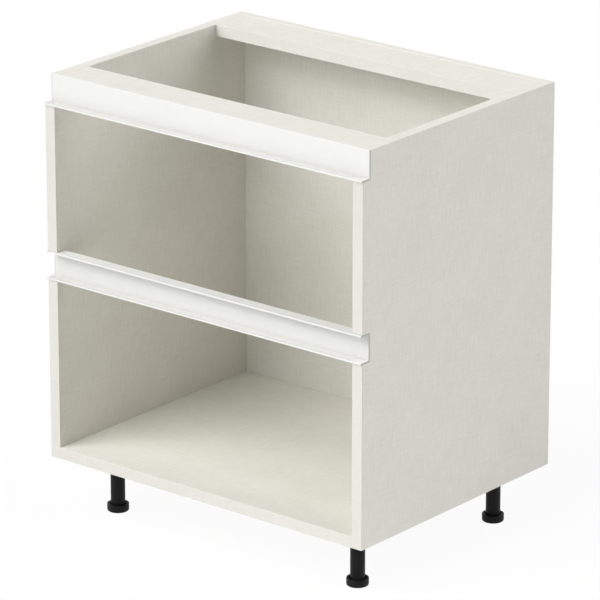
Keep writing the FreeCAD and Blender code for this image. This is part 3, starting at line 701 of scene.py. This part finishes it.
def turned(name, outline_mm, sides=LATHE_SIDES, flutes=0, flute_depth_mm=0.0):
    """A turned mesh about Z from (radius, height) points that start and end on the axis."""
    shape = bmesh.new()
    rings = []
    for radius, height in outline_mm:
        ring = []
        for k in range(sides if radius > 0 else 1):
            angle = 2 * math.pi * k / sides
            dip = flute_depth_mm * (0.5 - 0.5 * math.cos(flutes * angle)) if flutes else 0.0
            reach = max(radius - dip, 0.0) * MM
            ring.append(shape.verts.new((reach * math.cos(angle), reach * math.sin(angle), height * MM)))
        rings.append(ring)
    for lower, upper in zip(rings, rings[1:]):
        for k in range(sides):
            corners_of_face = [lower[k % len(lower)], lower[(k + 1) % len(lower)],
                               upper[(k + 1) % len(upper)], upper[k % len(upper)]]
            shape.faces.new(list(dict.fromkeys(corners_of_face)))
    bmesh.ops.recalc_face_normals(shape, faces=shape.faces)
    mesh = bpy.data.meshes.new(name)
    shape.to_mesh(mesh)
    shape.free()
    shade(mesh)
    return mesh


def round_corner(before, corner, after, radius, steps=4):
    """Points of the arc that rounds one corner of an outline."""
    corner = Vector(corner)
    towards = [(Vector(end) - corner).normalized() for end in (before, after)]
    half_turn = towards[0].angle(towards[1]) / 2
    reach = radius / math.tan(half_turn)
    middle = corner + (towards[0] + towards[1]).normalized() * (radius / math.sin(half_turn))
    first = corner + towards[0] * reach - middle
    last = corner + towards[1] * reach - middle
    sweep = first.angle(last)
    points = []
    for k in range(steps + 1):
        share = k / steps
        mix = (first * math.sin((1 - share) * sweep) + last * math.sin(share * sweep)) / math.sin(sweep)
        points.append(tuple(middle + mix))
    return points


print("the lathe turns", LATHE_SIDES, "sides unless told otherwise")

# %% [markdown]
# Screws and dowels repeat, so one master of each is made, and Geometry Nodes set copies of it out. The
# tree takes a cloud of points that carries the direction of each fitting, turns every copy by its own
# random angle, as a fitter would leave them, and joins them into one mesh.

# %% A tree that sets fittings out
def group_tree(name, inputs):
    """A geometry tree with named inputs; returns it with its input and output nodes."""
    tree = bpy.data.node_groups.new(name, "GeometryNodeTree")
    tree.interface.new_socket("Geometry", in_out="INPUT", socket_type="NodeSocketGeometry")
    for label, kind in inputs:
        tree.interface.new_socket(label, in_out="INPUT", socket_type=kind)
    tree.interface.new_socket("Geometry", in_out="OUTPUT", socket_type="NodeSocketGeometry")
    return tree, tree.nodes.new("NodeGroupInput"), tree.nodes.new("NodeGroupOutput")


def set_input(modifier, label, value):
    """Sets a modifier's input by the identifier of its socket."""
    sockets = [s for s in modifier.node_group.interface.items_tree if s.in_out == "INPUT"]
    modifier[next(s.identifier for s in sockets if s.name == label)] = value


def setting_out_tree():
    """Copies of a master on points, along their own axis and turned at random."""
    tree, given, result = group_tree("set_out_fittings", [
        ("Master", "NodeSocketObject"), ("Finish", "NodeSocketMaterial"),
        ("Most Turn", "NodeSocketFloat"), ("Seed", "NodeSocketInt")])
    axis = add_node(tree, "GeometryNodeInputNamedAttribute", {"Name": "axis"}, data_type="FLOAT_VECTOR")
    aim = add_node(tree, "FunctionNodeAlignRotationToVector", {"Vector": axis.outputs[0]}, axis="Z")
    angle = add_node(tree, "FunctionNodeRandomValue", {
        "Max": given.outputs["Most Turn"], "Seed": given.outputs["Seed"]}, data_type="FLOAT")
    twist = add_node(tree, "FunctionNodeAxisAngleToRotation", {"Axis": (0, 0, 1), "Angle": angle.outputs[1]})
    turn = add_node(tree, "FunctionNodeRotateRotation", {
        0: aim.outputs[0], 1: twist.outputs[0]}, rotation_space="LOCAL")
    master = add_node(tree, "GeometryNodeObjectInfo", {"Object": given.outputs["Master"]})
    copies = add_node(tree, "GeometryNodeInstanceOnPoints", {
        "Points": given.outputs["Geometry"], "Instance": master.outputs["Geometry"],
        "Rotation": turn.outputs[0]})
    real = add_node(tree, "GeometryNodeRealizeInstances", {"Geometry": copies.outputs[0]})
    dressed = add_node(tree, "GeometryNodeSetMaterial", {
        "Geometry": real.outputs[0], "Material": given.outputs["Finish"]})
    tree.links.new(dressed.outputs[0], result.inputs[0])
    return tree


set_out_fittings = setting_out_tree()
print("tree", set_out_fittings.name, "with", len(set_out_fittings.nodes), "nodes")

# %% [markdown]
# Where the fittings go is read from the measured model. A group such as all the dowels of one side is one
# mesh, so its points are walked from edge to edge to find the separate solids, and each gives one box.

# %% Boxes of the separate solids
def solid_boxes(node):
    """Low and high corner of every separate solid in a measured node."""
    shape = bmesh.new()
    shape.from_mesh(nodes[node].data)
    bmesh.ops.remove_doubles(shape, verts=shape.verts, dist=MERGE_DISTANCE)
    left = set(shape.verts)
    found = []
    while left:
        reached = {left.pop()}
        front = list(reached)
        while front:
            vertex = front.pop()
            linked = {edge.other_vert(vertex) for edge in vertex.link_edges} - reached
            reached |= linked
            front.extend(linked)
        left -= reached
        places = [vertex.co for vertex in reached]
        low = Vector(min(p[k] for p in places) for k in range(3))
        high = Vector(max(p[k] for p in places) for k in range(3))
        found.append((low, high))
    shape.free()
    return sorted(found, key=lambda box: tuple(box[0]))


print("fittings to set out:", {node: len(solid_boxes(node)) for node in ("socket_screws", "left_dowels")})

# %% [markdown]
# A screw has a pan head with a cross recess and a plain shank, and only its head shows. The recess is cut
# with a Boolean modifier, once, before the copies are made. The cutter is a cross of two tapered blades.

# %% The screw
SCREW_HEAD_RADIUS = 3.9
SCREW_HEAD_HEIGHT = 2.4
SCREW_SHANK_RADIUS = 2.0
SCREW_LENGTH = 16.0
SCREW_SIDES = 32
DOME_SHARE = 0.8
DOME_STEPS = 6
HEAD_CHAMFER = 0.15
RECESS_REACH = 2.1
RECESS_WIDTH = 0.8
RECESS_DEPTH = 1.5
RECESS_FLOOR, RECESS_MOUTH = 0.55, 1.45


def cross_cutter():
    """A tapered cross for the recess, as a helper object."""
    shape = bmesh.new()
    square = ((-1, -1), (1, -1), (1, 1), (-1, 1))
    for turn in (0, math.pi / 2):
        rings = []
        for height, spread in ((-RECESS_DEPTH, RECESS_FLOOR), (RECESS_DEPTH, RECESS_MOUTH)):
            ring = []
            for u, v in square:
                x = u * RECESS_REACH * spread
                y = v * RECESS_WIDTH / 2
                ring.append(shape.verts.new(((x * math.cos(turn) - y * math.sin(turn)) * MM,
                                             (x * math.sin(turn) + y * math.cos(turn)) * MM,
                                             (SCREW_HEAD_HEIGHT + height) * MM)))
            rings.append(ring)
        bottom, top = rings
        shape.faces.new(bottom[::-1])
        shape.faces.new(top)
        for k in range(len(square)):
            after = (k + 1) % len(square)
            shape.faces.new((bottom[k], bottom[after], top[after], top[k]))
    bmesh.ops.recalc_face_normals(shape, faces=shape.faces)
    mesh = bpy.data.meshes.new("cross_cutter")
    shape.to_mesh(mesh)
    shape.free()
    return bpy.data.objects.new("cross_cutter", mesh)


def screw_master():
    """A pan head screw: dome, cross recess and plain shank with a point."""
    rim = SCREW_HEAD_RADIUS
    crown = (0, SCREW_HEAD_HEIGHT)
    dome = round_corner(crown, (rim, SCREW_HEAD_HEIGHT), (rim, 0), SCREW_HEAD_HEIGHT * DOME_SHARE, DOME_STEPS)
    outline = [crown, *dome, (rim, HEAD_CHAMFER), (rim - HEAD_CHAMFER, 0), (SCREW_SHANK_RADIUS, 0),
               (SCREW_SHANK_RADIUS, -SCREW_LENGTH + SCREW_SHANK_RADIUS), (0, -SCREW_LENGTH)]
    screw = bpy.data.objects.new("screw_master", turned("screw_master", outline, sides=SCREW_SIDES))
    cutter = cross_cutter()
    for helper in (screw, cutter):
        scene.collection.objects.link(helper)
    cut = screw.modifiers.new("recess", "BOOLEAN")
    cut.object = cutter
    cut.operation = "DIFFERENCE"
    cut.solver = "EXACT"
    # The two blades of the cutter cross each other.
    cut.use_self = True
    shade(plain_mesh(screw))
    bpy.data.objects.remove(cutter)
    return screw


screw = screw_master()
print("screw of", len(screw.data.polygons), "faces with its recess")

# %% [markdown]
# A dowel is a beech rod with pressed flutes, which let the glue past, and rounded ends. Its length and its
# thickness are read from the measured model.

# %% The dowel
DOWEL_FLUTES = 16
POINTS_PER_FLUTE = 6
FLUTE_DEPTH = 0.35
DOWEL_NOSE = 1.2
NOSE_STEPS = 4


def dowel_master(length_mm, radius_mm):
    """A dowel along Z about its middle, with pressed flutes and rounded ends."""
    half = length_mm / 2
    nose = round_corner((0, half), (radius_mm, half), (radius_mm, 0), DOWEL_NOSE, NOSE_STEPS)
    outline = [(0, half), *nose, *[(r, -h) for r, h in reversed(nose)], (0, -half)]
    mesh = turned("dowel_master", outline, sides=DOWEL_FLUTES * POINTS_PER_FLUTE, flutes=DOWEL_FLUTES,
                  flute_depth_mm=FLUTE_DEPTH)
    dowel = bpy.data.objects.new("dowel_master", mesh)
    scene.collection.objects.link(dowel)
    return dowel


dowel_low, dowel_high = solid_boxes("left_dowels")[0]
dowel_size = (dowel_high - dowel_low) / MM
dowel = dowel_master(dowel_size.x, dowel_size.z / 2)
print("dowel of", round(dowel_size.x, 1), "by", round(dowel_size.z, 1), "mm")

# %% [markdown]
# Now the copies. A screw is placed at the underside of its head and looks out of the plate that it holds.
# A dowel is placed at its middle and lies along the width. The masters are removed afterwards.

# %% Screws and dowels in their places
def set_out(name, node, spots, master, finish, seed):
    """One mesh of copies of a master at (place, axis) spots, standing for a measured node."""
    mesh = bpy.data.meshes.new(name)
    mesh.from_pydata([place for place, axis in spots], [], [])
    axes = mesh.attributes.new("axis", "FLOAT_VECTOR", "POINT")
    axes.data.foreach_set("vector", [number for place, axis in spots for number in axis])
    piece = bpy.data.objects.new(name, mesh)
    scene.collection.objects.link(piece)
    copies = piece.modifiers.new("copies", "NODES")
    copies.node_group = set_out_fittings
    set_input(copies, "Master", master)
    set_input(copies, "Finish", finish)
    set_input(copies, "Most Turn", math.pi)
    set_input(copies, "Seed", seed)
    shade(plain_mesh(piece))
    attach(piece, CABINET)
    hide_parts(node)
    print(name, len(spots), "copies,", len(piece.data.polygons), "faces")


def screw_spot(low, high):
    """Underside of the head, and the way that the head looks."""
    sizes = high - low
    middle = (low + high) / 2
    if sizes.z > sizes.x:
        return Vector((middle.x, middle.y, low.z + SCREW_HEAD_HEIGHT * MM)), Vector((0, 0, -1))
    side = math.copysign(1, middle.x)
    head = low.x if side > 0 else high.x
    return Vector((head + side * SCREW_HEAD_HEIGHT * MM, middle.y, middle.z)), Vector((-side, 0, 0))


for seed, node in enumerate(("socket_screws", "bracket_screws")):
    spots = [screw_spot(low, high) for low, high in solid_boxes(node)]
    set_out(f"recessed_{node}", node, spots, screw, plated_steel, seed)
for seed, node in enumerate(("left_dowels", "right_dowels")):
    spots = [((low + high) / 2, Vector((1, 0, 0))) for low, high in solid_boxes(node)]
    set_out(f"fluted_{node}", node, spots, dowel, turned_beech, seed)
for master in (screw, dowel):
    bpy.data.objects.remove(master)

# %% [markdown]
# Each foot is a moulded cup on a coarse plastic thread. The cup is turned from its half section, with a
# large round at the floor and small ones at the rim. The rim is as wide as it looks in the photo, and a
# shallow hollow underneath keeps the cup from rocking.

# %% Foot cups
FOOT_HEIGHT = 14.0
FOOT_WALL = 5.0
FOOT_FLOOR = 4.0
FOOT_ROUND = 3.0
RIM_ROUND = 0.8
HOLLOW_RADIUS = 12.5
HOLLOW_DEPTH = 1.5
FOOT_SIDES = 96
FOOT_STEPS = 6
RIM_STEPS = 4
INNER_STEPS = 3


def foot_outline(radius):
    """Half section of the cup, from the hollow underneath to its inside floor."""
    inside = radius - FOOT_WALL
    lip = HOLLOW_RADIUS + HOLLOW_DEPTH
    outer_top = (radius, FOOT_HEIGHT)
    inner_top = (inside, FOOT_HEIGHT)
    inner_floor = (inside, FOOT_FLOOR)
    return [
        (0, HOLLOW_DEPTH), (HOLLOW_RADIUS, HOLLOW_DEPTH), (lip, 0),
        *round_corner((lip, 0), (radius, 0), outer_top, FOOT_ROUND, FOOT_STEPS),
        *round_corner((radius, 0), outer_top, inner_top, RIM_ROUND, RIM_STEPS),
        *round_corner(outer_top, inner_top, inner_floor, RIM_ROUND, RIM_STEPS),
        *round_corner(inner_top, inner_floor, (0, FOOT_FLOOR), RIM_ROUND, INNER_STEPS),
        (0, FOOT_FLOOR),
    ]


def at_place(name, mesh, middle, finish, body, node):
    """A piece from a mesh about the Z axis, carried to its place in its own points."""
    own = mesh.copy()
    own.name = name
    for vertex in own.vertices:
        vertex.co += middle
    own.materials.clear()
    own.materials.append(finish)
    piece = bpy.data.objects.new(name, own)
    scene.collection.objects.link(piece)
    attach(piece, body)
    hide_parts(node)


foot_low, foot_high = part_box("front_left_foot")
foot_radius = (foot_high.x - foot_low.x) / 2 / MM
cup_mesh = turned("foot_cup", foot_outline(foot_radius), sides=FOOT_SIDES)
foot_middles = {}
for corner in corners:
    low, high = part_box(f"{corner}_foot")
    middle = (low + high) / 2
    foot_middles[corner] = Vector((middle.x, middle.y, low.z))
    at_place(f"moulded_{corner}_foot_cup", cup_mesh, foot_middles[corner], black_plastic,
             f"{corner}_foot_body", f"{corner}_foot")
print("foot cups of", round(foot_radius * 2, 1), "mm diameter,", len(cup_mesh.polygons), "faces each")

# %% [markdown]
# The thread of a spindle follows a rule, so Geometry Nodes make it: a tall cylinder whose points move in
# where the height, less a share of the turn, falls in the root of the thread. The groove fades out at
# both ends, as a moulded thread does.

# %% A tree that cuts a thread
CREST_SHARE, ROOT_SHARE = 0.12, 0.38


def thread_tree():
    """A cylinder with a helical groove that fades out at both ends."""
    tree, given, result = group_tree("cut_thread", [
        ("Radius", "NodeSocketFloat"), ("Depth", "NodeSocketFloat"), ("Pitch", "NodeSocketFloat"),
        ("Length", "NodeSocketFloat"), ("Run Out", "NodeSocketFloat"), ("Rings", "NodeSocketInt"),
        ("Finish", "NodeSocketMaterial")])
    bar = add_node(tree, "GeometryNodeMeshCylinder", {
        "Vertices": LATHE_SIDES, "Side Segments": given.outputs["Rings"],
        "Radius": given.outputs["Radius"], "Depth": given.outputs["Length"]})
    point = add_node(tree, "GeometryNodeInputPosition")
    where = add_node(tree, "ShaderNodeSeparateXYZ", {0: point.outputs[0]})
    angle = add_node(tree, "ShaderNodeMath", {
        0: where.outputs["Y"], 1: where.outputs["X"]}, operation="ARCTAN2")
    turns = add_node(tree, "ShaderNodeMath", {0: angle.outputs[0], 1: 2 * math.pi}, operation="DIVIDE")
    rise = add_node(tree, "ShaderNodeMath", {
        0: where.outputs["Z"], 1: given.outputs["Pitch"]}, operation="DIVIDE")
    phase = add_node(tree, "ShaderNodeMath", {0: rise.outputs[0], 1: turns.outputs[0]}, operation="SUBTRACT")
    wave = add_node(tree, "ShaderNodeMath", {0: phase.outputs[0], 1: 0.5}, operation="PINGPONG")
    groove = add_node(tree, "ShaderNodeMapRange", {
        "Value": wave.outputs[0], "From Min": CREST_SHARE, "From Max": ROOT_SHARE})
    height = add_node(tree, "ShaderNodeMath", {0: where.outputs["Z"]}, operation="ABSOLUTE")
    half = add_node(tree, "ShaderNodeMath", {0: given.outputs["Length"], 1: 0.5}, operation="MULTIPLY")
    to_end = add_node(tree, "ShaderNodeMath", {
        0: half.outputs[0], 1: height.outputs[0]}, operation="SUBTRACT")
    fade = add_node(tree, "ShaderNodeMapRange", {
        "Value": to_end.outputs[0], "From Max": given.outputs["Run Out"]})
    cut = add_node(tree, "ShaderNodeMath", {0: groove.outputs[0], 1: fade.outputs[0]}, operation="MULTIPLY")
    share = add_node(tree, "ShaderNodeMath", {
        0: given.outputs["Depth"], 1: given.outputs["Radius"]}, operation="DIVIDE")
    drop = add_node(tree, "ShaderNodeMath", {0: cut.outputs[0], 1: share.outputs[0]}, operation="MULTIPLY")
    keep = add_node(tree, "ShaderNodeMath", {0: 1.0, 1: drop.outputs[0]}, operation="SUBTRACT")
    scale = add_node(tree, "ShaderNodeCombineXYZ", {"X": keep.outputs[0], "Y": keep.outputs[0], "Z": 1.0})
    moved = add_node(tree, "ShaderNodeVectorMath", {
        0: point.outputs[0], 1: scale.outputs[0]}, operation="MULTIPLY")
    shaped = add_node(tree, "GeometryNodeSetPosition", {
        "Geometry": bar.outputs[0], "Position": moved.outputs[0]})
    real = add_node(tree, "GeometryNodeRealizeInstances", {"Geometry": shaped.outputs[0]})
    dressed = add_node(tree, "GeometryNodeSetMaterial", {
        "Geometry": real.outputs[0], "Material": given.outputs["Finish"]})
    tree.links.new(dressed.outputs[0], result.inputs[0])
    return tree


cut_thread = thread_tree()
print("tree", cut_thread.name, "with", len(cut_thread.nodes), "nodes")

# %% [markdown]
# One turn of the leg moves the foot by one pitch, four millimetres. The spindle stands a little way in the
# floor of the cup, so that no gap shows, and is as tall as the measured foot.

# %% Threaded spindles
SPINDLE_RADIUS = 8.0
THREAD_DEPTH = 1.3
THREAD_PITCH = 4.0
THREAD_RUN_OUT = 3.0
SPINDLE_SINK = 0.2
POINTS_PER_PITCH = 12
spindle_bottom = FOOT_FLOOR - SPINDLE_SINK
spindle_length = (foot_high.z - foot_low.z) / MM - spindle_bottom
spindle = bpy.data.objects.new("spindle_master", bpy.data.meshes.new("spindle_master"))
scene.collection.objects.link(spindle)
thread = spindle.modifiers.new("thread", "NODES")
thread.node_group = cut_thread
thread_sizes = {
    "Radius": SPINDLE_RADIUS * MM, "Depth": THREAD_DEPTH * MM, "Pitch": THREAD_PITCH * MM,
    "Length": spindle_length * MM, "Run Out": THREAD_RUN_OUT * MM,
    "Rings": round(spindle_length / THREAD_PITCH * POINTS_PER_PITCH), "Finish": black_plastic,
}
for label, value in thread_sizes.items():
    set_input(thread, label, value)
spindle_mesh = plain_mesh(spindle)
shade(spindle_mesh)
for corner in corners:
    middle = foot_middles[corner] + Vector((0, 0, (spindle_bottom + spindle_length / 2) * MM))
    at_place(f"threaded_{corner}_spindle", spindle_mesh, middle, black_plastic,
             f"{corner}_foot_body", f"{corner}_foot")
bpy.data.objects.remove(spindle)
print("spindles of", round(spindle_length, 1), "mm with", len(spindle_mesh.polygons), "faces each")
